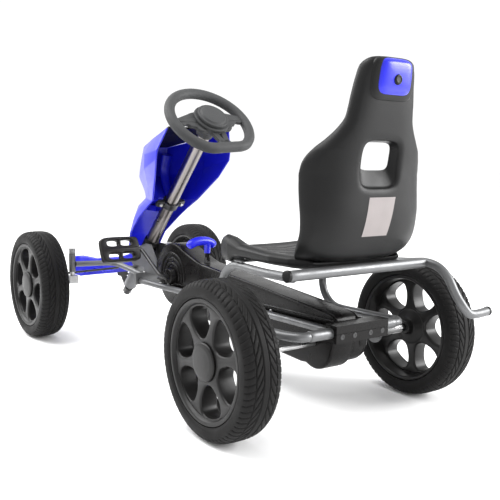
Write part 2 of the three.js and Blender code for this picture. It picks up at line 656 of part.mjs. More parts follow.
function pedalGeometry(side) {
  const outline = shapeOf([[-54, -25], [-46, -33], [47, -33], [54, -25], [54, 25], [47, 33],
    [-46, 33], [-54, 25]]);
  for (const y of [-18, 14]) {
    outline.holes.push(new THREE.Path([[-36, y - 5], [36, y - 5], [40, y + 4], [-36, y + 8]]
      .map(([x, along]) => new THREE.Vector2(x, along))));
  }
  const bore = rod([-60, 0, 0], [60, 0, 0], 5.8, 12);
  const tilt = THREE.MathUtils.degToRad(114);
  const body = cut(plateXY(outline, -11, 11), bore);
  return (side > 0 ? body : mirrored(body)).rotateX(tilt);
}

addSpineAndNeck();
addHeadBracket();
addSeatRails();
addRearBearings();
addChainCase();
addTubeClamp();
addColumn();
addSteeringWheel();
addPitmanArm();
addFairing();
addBumper();
addSeat();
addHandLever();
addWheels();
addKnuckles();
addDrive();

export default group;
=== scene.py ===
"""Looks of the pedal go kart. Lengths in the tables below are millimetres in the CAD frame."""
import math

import bmesh
import bpy
import numpy as np
from mathutils import Matrix, Vector


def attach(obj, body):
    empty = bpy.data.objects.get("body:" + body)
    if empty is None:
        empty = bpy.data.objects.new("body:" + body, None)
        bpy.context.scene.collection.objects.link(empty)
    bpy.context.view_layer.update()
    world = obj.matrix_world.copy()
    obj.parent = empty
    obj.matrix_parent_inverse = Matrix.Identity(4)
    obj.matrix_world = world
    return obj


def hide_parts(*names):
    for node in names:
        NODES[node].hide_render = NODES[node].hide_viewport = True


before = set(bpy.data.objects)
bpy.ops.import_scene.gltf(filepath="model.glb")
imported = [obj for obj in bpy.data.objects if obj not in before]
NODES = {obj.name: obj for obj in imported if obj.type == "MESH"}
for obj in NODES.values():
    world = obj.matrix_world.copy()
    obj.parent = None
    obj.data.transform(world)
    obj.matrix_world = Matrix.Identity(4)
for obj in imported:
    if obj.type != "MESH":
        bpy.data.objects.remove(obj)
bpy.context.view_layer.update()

MM = 0.001

WHEEL_RADIUS = 150
HALF_TRACK = 259
REAR_AXLE_Y = 441.5
FRONT_AXLE_Y = -497.5
COLUMN_BASE = (0, -310, 270)
COLUMN_ANGLE = math.radians(47)
WHEEL_HUB_S = 454
CRANK_Y, CRANK_Z, CRANK_ARM, CRANK_X = -128.5, 206, 128, 66
CRANK_ANGLE = math.radians(29)
PEDAL_X = 128
PEDAL_TILT = math.radians(114)
RING_TEETH, CHAIN_PITCH, CRANK_ROD = 24, 12.7, 5.6


# ---- camera, floor and light ----
CAMERA_PLACE = (0.9835, 1.5414, 0.5217)
CAMERA_AZIMUTH = math.radians(144.26)
CAMERA_ELEVATION = math.radians(7.28)
CAMERA_ROLL = 0.01568
CAMERA_LENS = 53.11
WORLD_STRENGTH = 1.06
FLOOR_TONE = 0.97
LIGHT_TARGET = (0, 0, 0.3)


def add_camera():
    sin_a, cos_a = math.sin(CAMERA_AZIMUTH), math.cos(CAMERA_AZIMUTH)
    sin_e, cos_e = math.sin(CAMERA_ELEVATION), math.cos(CAMERA_ELEVATION)
    backward = Vector((sin_a * cos_e, -cos_a * cos_e, sin_e))
    level_right = Vector((cos_a, sin_a, 0))
    level_up = backward.cross(level_right)
    right = math.cos(CAMERA_ROLL) * level_right + math.sin(CAMERA_ROLL) * level_up
    up = backward.cross(right)
    data = bpy.data.cameras.new("camera")
    data.lens = CAMERA_LENS
    data.sensor_width = 36
    camera = bpy.data.objects.new("camera", data)
    turn = Matrix((right, up, backward)).transposed().to_4x4()
    camera.matrix_world = Matrix.Translation(CAMERA_PLACE) @ turn
    bpy.context.collection.objects.link(camera)
    bpy.context.scene.camera = camera


def add_light(name, place, size, watts):
    data = bpy.data.lights.new(name, "AREA")
    data.shape = "RECTANGLE"
    data.size, data.size_y = size
    data.energy = watts
    light = bpy.data.objects.new(name, data)
    aim = Vector(LIGHT_TARGET) - Vector(place)
    light.rotation_euler = aim.to_track_quat("-Z", "Y").to_euler()
    light.location = place
    bpy.context.collection.objects.link(light)


def add_stage():
    world = bpy.data.worlds.new("studio")
    bpy.context.scene.world = world
    world.use_nodes = True
    background = world.node_tree.nodes["Background"]
    background.inputs["Color"].default_value = (1, 1, 1, 1)
    background.inputs["Strength"].default_value = WORLD_STRENGTH
    bpy.context.scene.view_settings.view_transform = "Standard"
    bpy.ops.mesh.primitive_plane_add(size=60, location=(0, 0, -0.0005))
    floor = bpy.context.object
    floor.name = "floor"
    material = bpy.data.materials.new("floor_paper")
    material.use_nodes = True
    paint = material.node_tree.nodes["Principled BSDF"]
    paint.inputs["Base Color"].default_value = (FLOOR_TONE, FLOOR_TONE, FLOOR_TONE, 1)
    paint.inputs["Roughness"].default_value = 0.85
    floor.data.materials.append(material)
    add_light("key", (1.2, -0.6, 3.4), (2.2, 2.2), 125)
    add_light("fill", (-2.6, 2.3, 1.5), (2.0, 1.8), 170)
    add_light("rim", (1.8, -2.8, 2.2), (2.4, 1.4), 80)


# ---- materials ----
NOISE_LOW, NOISE_HIGH = 0.3, 0.7


class Maker:
    """Builds the node tree of one material, one node after another."""

    def __init__(self, name):
        self.material = bpy.data.materials.new(name)
        self.material.use_nodes = True
        self.tree = self.material.node_tree
        self.paint = self.tree.nodes["Principled BSDF"]
        self.place = self.tree.nodes.new("ShaderNodeTexCoord").outputs["Object"]

    def node(self, kind, **values):
        made = self.tree.nodes.new(kind)
        for key, value in values.items():
            setattr(made, key, value)
        return made

    def link(self, source, target):
        self.tree.links.new(source, target)

    def stretched(self, scale):
        mapping = self.node("ShaderNodeMapping")
        mapping.inputs["Scale"].default_value = scale
        self.link(self.place, mapping.inputs["Vector"])
        return mapping.outputs["Vector"]

    def noise(self, scale, detail, vector=None):
        made = self.node("ShaderNodeTexNoise")
        made.inputs["Scale"].default_value = scale
        made.inputs["Detail"].default_value = detail
        self.link(vector or self.place, made.inputs["Vector"])
        return made.outputs["Fac"]

    def cells(self, scale):
        made = self.node("ShaderNodeTexVoronoi")
        made.inputs["Scale"].default_value = scale
        self.link(self.place, made.inputs["Vector"])
        return made.outputs["Distance"]

    def spread(self, source, low, high):
        """Maps the usual range of a noise to low ... high."""
        made = self.node("ShaderNodeMapRange")
        made.inputs["From Min"].default_value = NOISE_LOW
        made.inputs["From Max"].default_value = NOISE_HIGH
        made.inputs["To Min"].default_value = low
        made.inputs["To Max"].default_value = high
        self.link(source, made.inputs["Value"])
        return made.outputs["Result"]

    def tones(self, source, *stops):
        """A colour ramp through (place, colour) stops."""
        ramp = self.node("ShaderNodeValToRGB")
        elements = ramp.color_ramp.elements
        for element, (at, colour) in zip(elements, (stops[0], stops[-1])):
            element.position = at
            element.color = (*colour, 1)
        for at, colour in stops[1:-1]:
            elements.new(at).color = (*colour, 1)
        self.link(source, ramp.inputs["Fac"])
        return ramp.outputs["Color"]

    def bump(self, source, strength, distance, below=None):
        made = self.node("ShaderNodeBump")
        made.inputs["Strength"].default_value = strength
        made.inputs["Distance"].default_value = distance
        self.link(source, made.inputs["Height"])
        if below:
            self.link(below, made.inputs["Normal"])
        return made.outputs["Normal"]

    def to(self, socket, source):
        self.link(source, self.paint.inputs[socket])

    def set(self, **values):
        for key, value in values.items():
            self.paint.inputs[key.replace("_", " ").title()].default_value = value


def shaded(colour, factor):
    return tuple(min(1, channel * factor) for channel in colour)


def moulded_plastic(name, colour, roughness, grain, grain_depth, haze=0.12, flow_depth=0.002):
    """Moulded plastic: slow colour drift, faint flow marks, and a fine grain in the surface."""
    m = Maker(name)
    drift = m.noise(7, 4)
    m.to("Base Color", m.tones(drift, (0.25, shaded(colour, 0.82)), (0.5, colour),
                               (0.75, shaded(colour, 1.2))))
    m.to("Roughness", m.spread(m.noise(26, 5), roughness - haze / 2, roughness + haze / 2))
    flow = m.bump(m.noise(14, 2), 0.08, flow_depth)
    m.to("Normal", m.bump(m.noise(grain, 4), 0.35, grain_depth, flow))
    return m


def painted_tube(name, colour, roughness, metallic):
    """Metallic lacquer on tube: flake sparkle, orange peel and rubbed marks."""
    m = Maker(name)
    flake = m.cells(1500)
    worn = m.noise(34, 8)
    m.to("Base Color", m.tones(flake, (0.0, shaded(colour, 1.12)), (0.6, colour),
                               (1.0, shaded(colour, 0.88))))
    m.to("Roughness", m.spread(worn, roughness - 0.07, roughness + 0.12))
    m.to("Normal", m.bump(m.noise(240, 2), 0.12, 0.0004))
    m.set(metallic=metallic)
    return m


def turned_steel(name, colour, roughness, scale):
    """Drawn or turned steel with fine lines and slight staining."""
    m = Maker(name)
    lines = m.noise(1, 6, m.stretched(scale))
    m.to("Base Color", m.tones(lines, (0.2, shaded(colour, 0.72)), (0.55, colour),
                               (0.8, shaded(colour, 1.15))))
    m.to("Roughness", m.spread(m.noise(50, 6), roughness - 0.08, roughness + 0.12))
    m.to("Normal", m.bump(lines, 0.15, 0.0004))
    m.set(metallic=1.0)
    return m


def brushed_steel(name, colour, roughness):
    """Smooth plated steel with a slow change of tone and a faint haze."""
    m = Maker(name)
    m.to("Base Color", m.tones(m.noise(9, 2), (0.3, shaded(colour, 0.93)), (0.5, colour),
                               (0.7, shaded(colour, 1.06))))
    m.to("Roughness", m.spread(m.noise(18, 3), roughness - 0.02, roughness + 0.03))
    m.to("Normal", m.bump(m.noise(300, 2), 0.04, 0.0001))
    m.set(metallic=1.0)
    return m


def make_materials():
    blue = moulded_plastic("blue_moulding", (0.006, 0.009, 0.5), 0.3, 420, 0.00005, 0.05,
                           0.0006)
    blue.set(coat_weight=0.12, coat_roughness=0.14)
    grain = moulded_plastic("grained_black", (0.006, 0.006, 0.0062), 0.42, 900, 0.0006)
    gloss = moulded_plastic("satin_black", (0.004, 0.0035, 0.0035), 0.26, 500, 0.0003)
    rim = moulded_plastic("wheel_black", (0.007, 0.0066, 0.0066), 0.38, 700, 0.0004)
    pedal = moulded_plastic("pedal_black", (0.006, 0.005, 0.005), 0.4, 600, 0.0005)
    foam = moulded_plastic("grip_foam", (0.036, 0.037, 0.038), 0.62, 1500, 0.0009)
    tyre = moulded_plastic("tyre_foam", (0.0075, 0.0072, 0.0072), 0.56, 1100, 0.0007, 0.2)
    for plastic, mirror in ((grain, 0.2), (gloss, 0.15), (rim, 0.26), (pedal, 0.2), (foam, 0.34),
                            (tyre, 0.12), (blue, 0.42)):
        plastic.paint.inputs["Specular IOR Level"].default_value = mirror
    label = moulded_plastic("blank_label", (0.22, 0.196, 0.193), 0.5, 400, 0.0002)
    tube = painted_tube("silver_lacquer", (0.135, 0.137, 0.14), 0.38, 0.6)
    jacket = brushed_steel("bright_jacket", (0.25, 0.23, 0.222), 0.28)
    steel = turned_steel("plain_steel", (0.5, 0.5, 0.5), 0.32, (40, 700, 700))
    enamel = painted_tube("black_enamel", (0.02, 0.02, 0.021), 0.3, 0.15)
    made = dict(blue=blue, grain=grain, gloss=gloss, rim=rim, pedal=pedal, foam=foam, tyre=tyre,
                label=label, tube=tube, jacket=jacket, steel=steel, enamel=enamel)
    return {key: maker.material for key, maker in made.items()}


MATERIALS = make_materials()
SHARP_ANGLE = 35


# ---- mesh helpers ----
def smooth_path(points, count, closed=False):
    """Catmull-Rom curve through points, resampled to count points of even spacing."""
    p = np.array(points, float)
    if closed:
        p = np.vstack([p[-1], p, p[0], p[1]])
    else:
        p = np.vstack([2 * p[0] - p[1], p, 2 * p[-1] - p[-2]])
    fine = []
    for a, b, c, d in zip(p[:-3], p[1:-2], p[2:-1], p[3:]):
        knots = np.cumsum([0, *(max(np.linalg.norm(v) ** 0.5, 1e-6) for v in (b - a, c - b, d - c))])
        t0, t1, t2, t3 = knots
        for t in np.linspace(t1, t2, 16, endpoint=False):
            a1 = (t1 - t) / (t1 - t0) * a + (t - t0) / (t1 - t0) * b
            a2 = (t2 - t) / (t2 - t1) * b + (t - t1) / (t2 - t1) * c
            a3 = (t3 - t) / (t3 - t2) * c + (t - t2) / (t3 - t2) * d
            b1 = (t2 - t) / (t2 - t0) * a1 + (t - t0) / (t2 - t0) * a2
            b2 = (t3 - t) / (t3 - t1) * a2 + (t - t1) / (t3 - t1) * a3
            fine.append((t2 - t) / (t2 - t1) * b1 + (t - t1) / (t2 - t1) * b2)
    fine.append(p[-2])
    fine = np.array(fine)
    along = np.concatenate([[0], np.cumsum(np.linalg.norm(np.diff(fine, axis=0), axis=1))])
    wanted = np.linspace(0, along[-1], count, endpoint=not closed)
    return np.stack([np.interp(wanted, along, fine[:, k]) for k in range(p.shape[1])], axis=1)


def finish_piece(name, data, body, material, nodes=(), sharp=SHARP_ANGLE):
    """Wraps mesh data as a piece that rides on a body and stands for CAD nodes."""
    data.materials.clear()
    data.materials.append(MATERIALS[material])
    data.shade_smooth()
    data.set_sharp_from_angle(angle=math.radians(sharp))
    piece = bpy.data.objects.new(name, data)
    bpy.context.collection.objects.link(piece)
    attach(piece, body)
    if nodes:
        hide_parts(*nodes)
    return piece


def clean(data):
    """Joins vertices that are at the same place, and turns the faces outwards."""
    shape = bmesh.new()
    shape.from_mesh(data)
    bmesh.ops.remove_doubles(shape, verts=shape.verts, dist=1e-6)
    bmesh.ops.recalc_face_normals(shape, faces=shape.faces)
    shape.to_mesh(data)
    shape.free()


def mesh_data(name, vertices, faces, place=None):
    """Mesh from millimetre vertices, with normals turned outwards."""
    data = bpy.data.meshes.new(name)
    data.from_pydata([tuple(v) for v in np.asarray(vertices, float) * MM], [], faces)
    clean(data)
    if place:
        data.transform(place)
    return data


def grid_faces(rows, columns, wrap_rows, wrap_columns):
    faces = []
    for i in range(rows if wrap_rows else rows - 1):
        for j in range(columns if wrap_columns else columns - 1):
            a, b = i * columns + j, i * columns + (j + 1) % columns
            c = ((i + 1) % rows) * columns + (j + 1) % columns
            d = ((i + 1) % rows) * columns + j
            faces.append((a, b, c, d))
    return faces


def end_faces(rows, columns):
    """The first and the last ring of a grid as two faces that close it."""
    return [tuple(range(columns)), tuple(range((rows - 1) * columns, rows * columns))]


def lathe(name, profile, segments, place=None):
    """Turns an (along, radius) profile about X. A radius of 0 closes an end."""
    vertices = []
    for along, radius in profile:
        for k in range(segments):
            angle = 2 * math.pi * k / segments
            vertices.append((along, radius * math.cos(angle), radius * math.sin(angle)))
    return mesh_data(name, vertices, grid_faces(len(profile), segments, False, True), place)


def rounded(profile, radius, steps=3):
    """Rounds the inner corners of an open profile of points."""
    out = [profile[0]]
    for before, corner, after in zip(profile[:-2], profile[1:-1], profile[2:]):
        b, c, a = np.array(before, float), np.array(corner, float), np.array(after, float)
        reach_b = min(radius, np.linalg.norm(b - c) * 0.45)
        reach_a = min(radius, np.linalg.norm(a - c) * 0.45)
        start = c + (b - c) / max(np.linalg.norm(b - c), 1e-9) * reach_b
        end = c + (a - c) / max(np.linalg.norm(a - c), 1e-9) * reach_a
        for k in range(steps + 1):
            t = k / steps
            out.append(tuple((1 - t) ** 2 * start + 2 * t * (1 - t) * c + t * t * end))
    out.append(profile[-1])
    return out


def sweep(name, points, radii, sides=24, closed=False, squeeze=1.0):
    """A round tube along points. radii is one number or one per point."""
    p = np.array(points, float)
    count = len(p)
    radii = np.broadcast_to(np.asarray(radii, float), (count,))
    if closed:
        tangents = np.roll(p, -1, axis=0) - np.roll(p, 1, axis=0)
    else:
        tangents = np.gradient(p, axis=0)
    tangents /= np.linalg.norm(tangents, axis=1)[:, None]
    first = np.array([0, 0, 1.0]) if abs(tangents[0][2]) < 0.9 else np.array([1.0, 0, 0])
    normal = first - tangents[0] * first.dot(tangents[0])
    normal /= np.linalg.norm(normal)
    frames = []
    for tangent in tangents:
        normal = normal - tangent * normal.dot(tangent)
        normal /= np.linalg.norm(normal)
        frames.append((normal, np.cross(tangent, normal)))
    vertices = []
    for centre, radius, (u, v) in zip(p, radii, frames):
        for k in range(sides):
            angle = 2 * math.pi * k / sides
            vertices.append(centre + radius * (math.cos(angle) * u + squeeze * math.sin(angle) * v))
    faces = grid_faces(count, sides, closed, True)
    if not closed:
        faces += end_faces(count, sides)
    return mesh_data(name, vertices, faces)


STRAIGHT_COUNT = 24


def tube(name, points, radius, node, count=None):
    """A frame tube with slightly rounded ends: a curve of count points, or straight without it."""
    if count:
        path = smooth_path(points, count)
    else:
        path = np.linspace(points[0], points[1], STRAIGHT_COUNT)
    start, end = path[0], path[-1]
    inward_start = (path[1] - start) / np.linalg.norm(path[1] - start)
    inward_end = (path[-2] - end) / np.linalg.norm(path[-2] - end)
    chamfer = min(1.2, radius * 0.2)
    path = np.vstack([start, start + inward_start * chamfer * 0.4, start + inward_start * chamfer,
                      path[1:-1], end + inward_end * chamfer, end + inward_end * chamfer * 0.4, end])
    radii = np.full(len(path), float(radius))
    radii[[0, -1]] = radius - chamfer
    radii[[1, -2]] = radius - chamfer * 0.35
    finish_piece(name, sweep(name, path, radii), "frame", "tube", [node])


def plate(name, outline, holes, depth, bevel, place, curved=()):
    """A flat plate of that depth, centred on its plane, with rounded edges. curved names the
    loops, 0 for the outline, that are drawn as smooth curves instead of straight lines."""
    curve = bpy.data.curves.new(name, "CURVE")
    curve.dimensions = "2D"
    curve.fill_mode = "BOTH"
    curve.extrude = (depth / 2 - bevel) * MM
    curve.bevel_depth = bevel * MM
    curve.bevel_resolution = 3
    curve.offset = -bevel * MM
    for index, loop in enumerate([outline, *holes]):
        points = np.array(loop, float)
        if index in curved:
            points = smooth_path(points, max(48, 4 * len(points)), closed=True)
        spline = curve.splines.new("POLY")
        spline.points.add(len(points) - 1)
        for point, (x, y) in zip(spline.points, points):
            point.co = (x * MM, y * MM, 0, 1)
        spline.use_cyclic_u = True
    made = bpy.data.objects.new(name, curve)
    data = bpy.data.meshes.new_from_object(made)
    bpy.data.objects.remove(made)
    clean(data)
    data.transform(place)
    return data


def joined(name, parts):
    """One mesh from several."""
    shape = bmesh.new()
    for part in parts:
        shape.from_mesh(part)
    data = bpy.data.meshes.new(name)
    shape.to_mesh(data)
    shape.free()
    return data


def mirrored(data):
    copy = data.copy()
    copy.transform(Matrix.Scale(-1, 4, (1, 0, 0)))
    copy.flip_normals()
    return copy


def at(x, y, z):
    return Matrix.Translation((x * MM, y * MM, z * MM))


def turn(angle, axis):
    return Matrix.Rotation(angle, 4, axis)


COLUMN = at(*COLUMN_BASE) @ turn(COLUMN_ANGLE - math.pi / 2, "X")
LATHE_TO_COLUMN = turn(-math.pi / 2, "Y")
# A plate's X and Y become the object's Y and Z, and its thickness lies along X.
PLATE_TO_SIDE = Matrix(((0, 0, 1, 0), (1, 0, 0, 0), (0, 1, 0, 0), (0, 0, 0, 1)))


def soften(piece, width, angle):
    """Rounds the edges that are sharper than the angle."""
    rounding = piece.modifiers.new("rounding", "BEVEL")
    rounding.width = width * MM
    rounding.segments = 3
    rounding.limit_method = "ANGLE"
    rounding.angle_limit = math.radians(angle)


def thicken(piece, thickness):
    """Gives a surface a wall of that thickness on its inner side."""
    wall = piece.modifiers.new("wall", "SOLIDIFY")
    wall.thickness = thickness * MM
    wall.offset = -1
    wall.use_even_offset = True


def dress(node, material, bevel=0.0):
    """A CAD node stays as it is, with a material and rounded edges."""
    piece = NODES[node]
    for slot in piece.material_slots:
        slot.material = MATERIALS[material]
    if bevel:
        soften(piece, bevel, SHARP_ANGLE)


def sided(points, side):
    """The points with X times side, so that -1 gives the other side's."""
    return [(side * x, *rest) for x, *rest in points]


def both(function):
    """Calls function with side 1 and "left", then -1 and "right"."""
    for side, word in ((1, "left"), (-1, "right")):
        function(side, word)


# ---- wheels ----
TYRE_STEPS = 576
TREAD_RIBS = 48
SHOULDER_LUGS = 72
TREAD_RINGS = (6.5, 22)
TREAD_DEPTH = 2.0
DIAGONAL_LEAN = 1.7
GROOVE_SHARE = 0.3
LUG_FOOT = 137.5
SPOKES = 6
SPOKE_FACE = 30
SPOKE_DEPTH = 38
WHEEL_ROLL = {"front": (17, 17), "rear": (13, 35)}


def groove(phase, width):
    """1 in the middle of a groove, 0 outside it. phase counts grooves."""
    away = np.abs((phase + 0.5) % 1 - 0.5)
    return np.clip(1.6 * (1 - away / (width / 2)), 0, 1)


def tyre_data():
    half = [(34, 117.4), (36.4, 118), (36.6, 119.6), (37.6, 121), (38.4, 123.4), (38.95, 130),
            (38.2, 136.5), (35.4, 142), (30, 146.2), (22, 148.8), (11, 149.85)]
    ends = [(-x, r) for x, r in half] + [(0, 149.95)] + half[::-1]
    profile = smooth_path(ends, 132)
    along = np.gradient(profile, axis=0)
    outward = np.stack([-along[:, 1], along[:, 0]], axis=1)
    outward /= np.linalg.norm(outward, axis=1)[:, None]
    x, r = profile[:, 0], profile[:, 1]
    away = np.abs(x)
    turns = np.arange(TYRE_STEPS) / TYRE_STEPS
    inner, outer = TREAD_RINGS
    rings = np.exp(-(away - inner) ** 4) + np.exp(-(away - outer) ** 4)
    band = (away > inner + 0.5) & (away < outer - 0.5)
    lugs = (away > outer + 1) & (r > LUG_FOOT)
    sweep_share = np.clip((away - inner) / (outer - inner), 0, 1) ** 0.8
    vertices = []
    for share in turns:
        diagonal = groove(share * TREAD_RIBS + DIAGONAL_LEAN * sweep_share, GROOVE_SHARE) * band
        shoulder = groove(share * SHOULDER_LUGS + away / 30, GROOVE_SHARE) * lugs
        depth = TREAD_DEPTH * np.maximum(np.maximum(rings, diagonal), 0.8 * shoulder)
        p = profile - outward * depth[:, None]
        angle = 2 * math.pi * share
        vertices.append(np.stack([p[:, 0], p[:, 1] * math.cos(angle), p[:, 1] * math.sin(angle)],
                                 axis=1))
    faces = grid_faces(TYRE_STEPS, len(profile), True, False)
    return mesh_data("tyre", np.concatenate(vertices), faces)


def window_outline(middle):
    """Outline of an egg-shaped opening between two spokes, from (radius, half angle) pairs."""
    half = [(43.5, 0), (45, 9), (51, 16), (60, 20.4), (70, 22.6), (80, 22.8), (91, 21.2),
            (99, 17), (102.6, 8)]
    around = half + [(103.2, 0)] + [(r, -a) for r, a in half[:0:-1]]
    points = []
    for r, a in around:
        angle = math.radians(middle + a)
        points.append((r * math.cos(angle), r * math.sin(angle)))
    return points


def rim_data():
    circle = [(107 * math.cos(a), 107 * math.sin(a)) for a in np.linspace(0, 2 * math.pi, 96, False)]
    windows = [window_outline((k + 0.5) * 360 / SPOKES) for k in range(SPOKES)]
    spokes = plate("spokes", circle, windows, SPOKE_DEPTH, 4.5,
                   at(SPOKE_FACE - SPOKE_DEPTH / 2, 0, 0) @ PLATE_TO_SIDE, curved=range(1, SPOKES + 1))
    well = lathe("well", rounded([
        (27, 103.6), (29.5, 105), (33.5, 107.5), (35.2, 109), (35.8, 111), (35.8, 116.2),
        (-35.8, 116.2), (-35.8, 111), (-32, 108.6), (-7, 105.5), (-7, 103.6), (27, 103.6)], 1.6), 128)
    hub = lathe("hub", rounded([
        (-29, 8.5), (-29, 15), (-14, 17), (-11, 30), (-9, 39), (25, 40.5), (29.4, 39.4), (30, 36),
        (30, 8.5)], 2), 72)
    return joined("rim", [spokes, well, hub])


def cap_data():
    return lathe("cap", rounded([(30.3, 0), (30.3, 36.6), (33.6, 36.6), (35.6, 34.6),
                                 (37.2, 27), (38.1, 13), (38.3, 0)], 1.3, 4), 72)


def add_wheels():
    tyre, rim, cap = tyre_data(), rim_data(), cap_data()
    for end, y in (("front", FRONT_AXLE_Y), ("rear", REAR_AXLE_Y)):
        for side, word, roll in zip((1, -1), ("left", "right"), WHEEL_ROLL[end]):
            body = "rear_axle" if end == "rear" else f"front_wheel_{word}"
            place = at(side * HALF_TRACK, y, WHEEL_RADIUS) @ turn(math.radians(roll), "X")
            if side < 0:
                place = place @ turn(math.pi, "Z")
            for part, data, material in (("tyre", tyre, "tyre"), ("rim", rim, "rim"),
                                         ("hub_cap", cap, "rim")):
                copy = data.copy()
                copy.transform(place)
                finish_piece(f"{part}_{end}_{word}_look", copy, body, material,
                             [f"{part}_{end}_{word}"], sharp=40)


# ---- frame tubes ----
RAIL_X, RAIL_RADIUS = 140, 9
CROSS_Y, CROSS_Z, CROSS_RADIUS = 541.5, 312, 10.5
LATERAL_Y, LATERAL_Z, LATERAL_HALF = 521.5, 190, 112
BEND_Y, BEND_Z, BEND_RADIUS = 328, 242, 58
SPINE_X, SPINE_RADIUS = 42, 8
KINGPIN_X, KINGPIN_Y = 160, -490
TAIL_CAP_PLACE = (-257.2, 637.7, 219)


def rail_bend():
    points = []
    for angle in np.linspace(math.pi / 2, 1.5 * math.pi, 13):
        points.append((RAIL_X, BEND_Y + BEND_RADIUS * math.cos(angle),
                       BEND_Z + BEND_RADIUS * math.sin(angle)))
    return points


def add_tubes():
    bend = rail_bend()
    foot = [(RAIL_X, 400, 185), (RAIL_X, 480, 188), (RAIL_X - 3, 505, 189.6),
            (RAIL_X - 12, 518, 190), (LATERAL_HALF + 10, LATERAL_Y, LATERAL_Z),
            (LATERAL_HALF - 6, LATERAL_Y, LATERAL_Z)]
    left = [(158, 529, 305), (150, 430, 301), *bend, *foot]
    tail = [(257, 637.9, 219), (225, 637.6, 217), (204, 635.4, 219), (190, 629.5, 235),
            (184, 616, 257), (180, 598, 288), (178, 575, 306), (178, CROSS_Y, CROSS_Z),
            (172, 500, 308), (152, 400, 302)]
    right = sided([*tail, *bend, *foot], -1)
    tube("left_rail_look", left, RAIL_RADIUS, "seat_rail_left", 130)
    tube("right_rail_look", right, RAIL_RADIUS, "seat_rail_right", 190)
    tube("cross_tube_look", [(-172, CROSS_Y, CROSS_Z), (182, CROSS_Y, CROSS_Z)], CROSS_RADIUS,
         "cross_tube")
    tube("lateral_tube_look", [(-LATERAL_HALF, LATERAL_Y, LATERAL_Z),
                               (LATERAL_HALF, LATERAL_Y, LATERAL_Z)], CROSS_RADIUS + 0.2,
         "lateral_tube")
    cap = lathe("cross_cap", rounded([(-3, 0), (-3, 11.4), (3.2, 11.4), (4.6, 9.4), (5, 0)], 1),
                40, at(182, CROSS_Y, CROSS_Z))
    finish_piece("cross_tube_cap_look", cap, "frame", "grain", ["cross_tube_cap"])
    tail_cap = lathe("tail_cap", rounded([(-3, 0), (-3, 9.7), (3, 9.7), (4.2, 8), (4.4, 0)], 1),
                     40, at(*TAIL_CAP_PLACE) @ turn(math.pi, "Z"))
    finish_piece("tail_tube_cap_look", tail_cap, "frame", "grain", ["tail_tube_cap"])

    def paired(side, word):
        tube(f"spine_{word}_look", [(side * SPINE_X, -287.7, 170), (side * SPINE_X, 507, 189)],
             SPINE_RADIUS, f"spine_tube_{word}")
        beam = sided([(151, -487, 200), (60, -483, 197), (37, -480, 195), (29, -463, 194),
                      (28, -440, 193), (28, -301, 184)], side)
        arm = sweep("arm", smooth_path(beam, 90), SPINE_RADIUS)
        sleeve = lathe("sleeve", rounded([(178, 7), (178, 9.6), (204, 9.6), (204.4, 9.1),
                                          (204.8, 9.6), (232, 9.6), (232, 7)], 0.7), 40,
                       at(side * KINGPIN_X, KINGPIN_Y, 0) @ LATHE_TO_COLUMN)
        finish_piece(f"front_axle_{word}_look", joined("half", [arm, sleeve]), "frame", "tube",
                     [f"front_axle_half_{word}"])
        end_cap = lathe("spine_cap", rounded([(0, 0), (0, 8.6), (8, 8.6), (12, 6), (13.4, 0)], 1.4),
                        32, at(side * SPINE_X, -287, 170) @ turn(-math.pi / 2, "Z"))
        finish_piece(f"spine_cap_{word}", end_cap, "frame", "grain")
    both(paired)


# ---- steering column and wheel ----
CLAMP_S = 167
STEERING_RADIUS, GRIP_RADIUS = 105, 13


def column_lathe(name, profile, material):
    data = lathe(name, rounded(profile, 0.8), 64, COLUMN @ LATHE_TO_COLUMN)
    finish_piece(name + "_look", data, "frame", material, [name])


def rim_path():
    points = []
    for degrees in np.linspace(142, 398, 30):
        angle = math.radians(degrees)
        points.append((STEERING_RADIUS * math.cos(angle), STEERING_RADIUS * math.sin(angle), 0))
    points += [(73, 74, 0), (60, 84, 0), (42, 89.5, 0), (20, 90, 0), (0, 90, 0), (-20, 90, 0),
               (-42, 89.5, 0), (-60, 84, 0), (-73, 74, 0)]
    return smooth_path(points, 220, closed=True)


def add_column():
    column_lathe("head_tube", [(-186, 9), (-186, 18.5), (-30, 18.5), (-30, 9)], "tube")
    column_lathe("column_collar", [(-29.7, 9), (-29.7, 21), (17, 21), (22, 18.4), (22, 9)],
                 "grain")
    column_lathe("column_jacket", [(22.3, 9), (22.3, 17.3), (412, 17.3), (412, 9)], "jacket")
    clamp = lathe("ring", rounded([(CLAMP_S - 9, 17.7), (CLAMP_S - 9, 22.5), (CLAMP_S + 9, 22.5),
                                   (CLAMP_S + 9, 17.7)], 1), 48,
                  COLUMN @ LATHE_TO_COLUMN)
    ears = []
    bolts = []
    for side in (1, -1):
        outline = sided([(19.5, -6), (33, -6), (42, -3), (42, 3), (33, 6), (19.5, 6)], side)
        ears.append(plate("ear", outline, [], 18, 1.4, COLUMN @ at(0, 0, CLAMP_S)))
        bolts.append(lathe("bolt", rounded([(-3, 4.6), (2, 4.6), (4.4, 3.6), (4.8, 0)], 0.6),
                           32, COLUMN @ at(side * 31, 6, CLAMP_S) @ turn(math.pi / 2, "Z")))
    finish_piece("fairing_clamp_look", joined("clamp", [clamp, *ears]), "frame", "enamel",
                 ["fairing_clamp"])
    finish_piece("clamp_bolts", joined("bolts", bolts), "frame", "steel")


def side_spoke(side):
    outline = [(26, -31), (42, -31), (56, -26), (70, -21), (84, -16), (99, -9), (99, 6),
               (86, 11), (74, 8), (66, 16), (56, 18), (50, 26), (40, 25), (28, 30)]
    return sided(outline, side)


